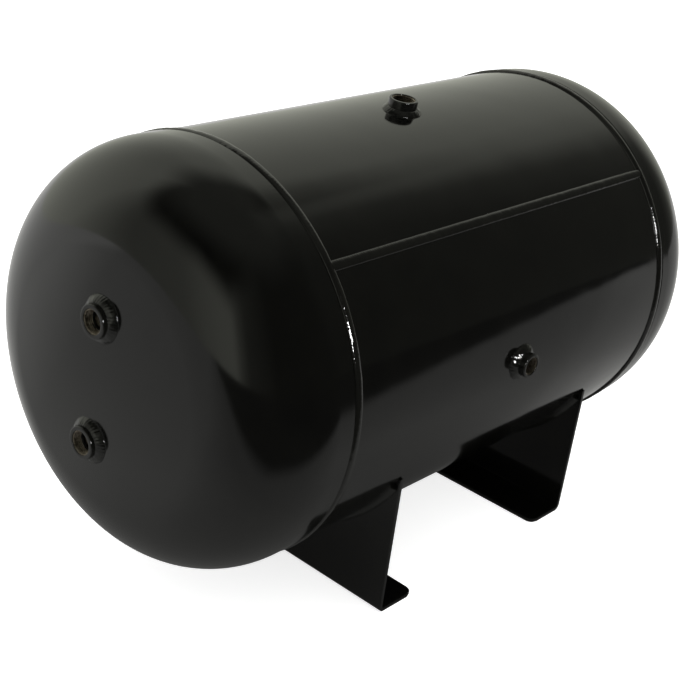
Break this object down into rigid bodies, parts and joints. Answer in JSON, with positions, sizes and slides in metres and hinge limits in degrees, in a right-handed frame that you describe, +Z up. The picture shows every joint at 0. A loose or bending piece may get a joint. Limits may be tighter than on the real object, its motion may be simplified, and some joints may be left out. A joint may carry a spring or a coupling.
{
  "type": "air receiver tank",
  "caption": "Horizontal black steel air receiver: seam-welded shell, dished ends, threaded ports on end, top, side and bottom, and bent-plate feet.",
  "frame": {"origin": "on the floor, at the centre of the front foot's sole, straight below the tank's axis", "axes": "+Z up; +Y along the tank's axis from the head with the two ports to the plain head; +X to the side with the long seam and the side port"},
  "size_m": [0.3156, 0.5505, 0.3482],
  "materials": {
    "shell_enamel": "gloss black enamel on rolled steel sheet",
    "head_enamel": "gloss black enamel on pressed steel",
    "weld_enamel": "gloss black enamel over rippled weld metal",
    "port_enamel": "gloss black enamel on turned steel",
    "foot_enamel": "gloss black enamel on bent steel sheet",
    "bare_thread": "unpainted tapped steel with an oily brown film"
  },
  "bodies": {
    "root": {"shell": "shell_enamel", "front_head": "head_enamel", "rear_head": "head_enamel", "front_girth_weld": "weld_enamel", "rear_girth_weld": "weld_enamel", "seam_weld": "weld_enamel", "head_upper_port": "port_enamel", "head_lower_port": "port_enamel", "top_port": "port_enamel", "side_port": "port_enamel", "drain_port": "port_enamel", "head_upper_port_weld": "weld_enamel", "head_lower_port_weld": "weld_enamel", "top_port_weld": "weld_enamel", "side_port_weld": "weld_enamel", "drain_port_weld": "weld_enamel", "front_foot": "foot_enamel", "rear_foot": "foot_enamel", "front_foot_outer_weld": "weld_enamel", "front_foot_inner_weld": "weld_enamel", "rear_foot_outer_weld": "weld_enamel", "rear_foot_inner_weld": "weld_enamel"}
  },
  "joints": []
}
